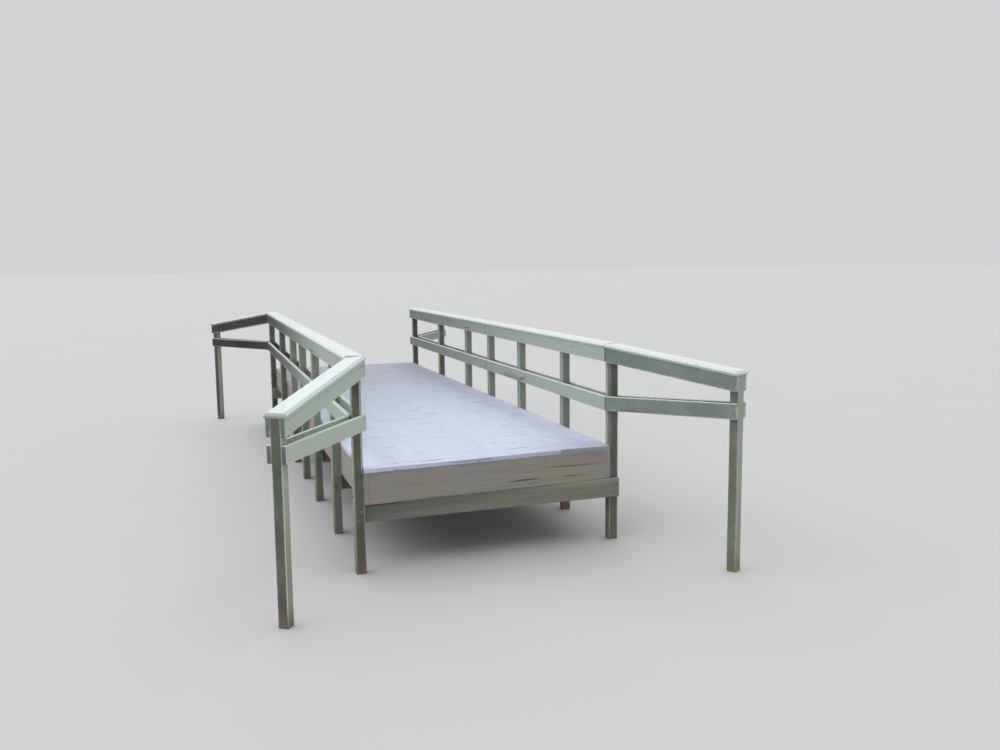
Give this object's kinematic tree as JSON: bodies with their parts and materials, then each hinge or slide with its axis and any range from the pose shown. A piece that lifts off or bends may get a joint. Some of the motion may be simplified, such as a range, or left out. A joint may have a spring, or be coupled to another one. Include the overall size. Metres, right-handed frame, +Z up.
{
  "type": "timber footbridge with flared end rails",
  "caption": "Painted timber footbridge: plank deck on stringers and post legs, with capped two-rail balustrades that flare out and slope down at both ends.",
  "frame": {"origin": "on the ground under the middle of the bridge's box, at the foot of its legs", "axes": "+Z up, +Y along the bridge towards the far end, +X across the deck to the right"},
  "size_m": [4.3834, 10.4952, 1.945],
  "materials": {
    "rail_paint": "weathered satin sage green paint on timber",
    "deck_paint": "worn matte pale blue-grey deck paint on boards",
    "raw_timber": "bare weathered timber"
  },
  "bodies": {
    "root": {"deck_boards": "deck_paint", "left_outer_stringer": "raw_timber", "right_outer_stringer": "raw_timber", "inner_stringers": "raw_timber", "near_end_header": "raw_timber", "far_end_header": "raw_timber", "bearer_1": "raw_timber", "bearer_2": "raw_timber", "bearer_3": "raw_timber", "bearer_4": "raw_timber", "bearer_5": "raw_timber", "bearer_6": "raw_timber", "bearer_7": "raw_timber", "left_post_1": "rail_paint", "left_post_2": "rail_paint", "left_post_3": "rail_paint", "left_post_4": "rail_paint", "left_post_5": "rail_paint", "left_post_6": "rail_paint", "left_post_7": "rail_paint", "right_post_1": "rail_paint", "right_post_2": "rail_paint", "right_post_3": "rail_paint", "right_post_4": "rail_paint", "right_post_5": "rail_paint", "right_post_6": "rail_paint", "right_post_7": "rail_paint", "left_top_boards": "rail_paint", "left_mid_boards": "rail_paint", "left_cap": "rail_paint", "right_top_boards": "rail_paint", "right_mid_boards": "rail_paint", "right_cap": "rail_paint", "near_left_wing_post": "rail_paint", "near_left_wing_rails": "rail_paint", "near_left_wing_cap": "rail_paint", "near_right_wing_post": "rail_paint", "near_right_wing_rails": "rail_paint", "near_right_wing_cap": "rail_paint", "far_left_wing_post": "rail_paint", "far_left_wing_rails": "rail_paint", "far_left_wing_cap": "rail_paint", "far_right_wing_post": "rail_paint", "far_right_wing_rails": "rail_paint", "far_right_wing_cap": "rail_paint"}
  },
  "joints": []
}
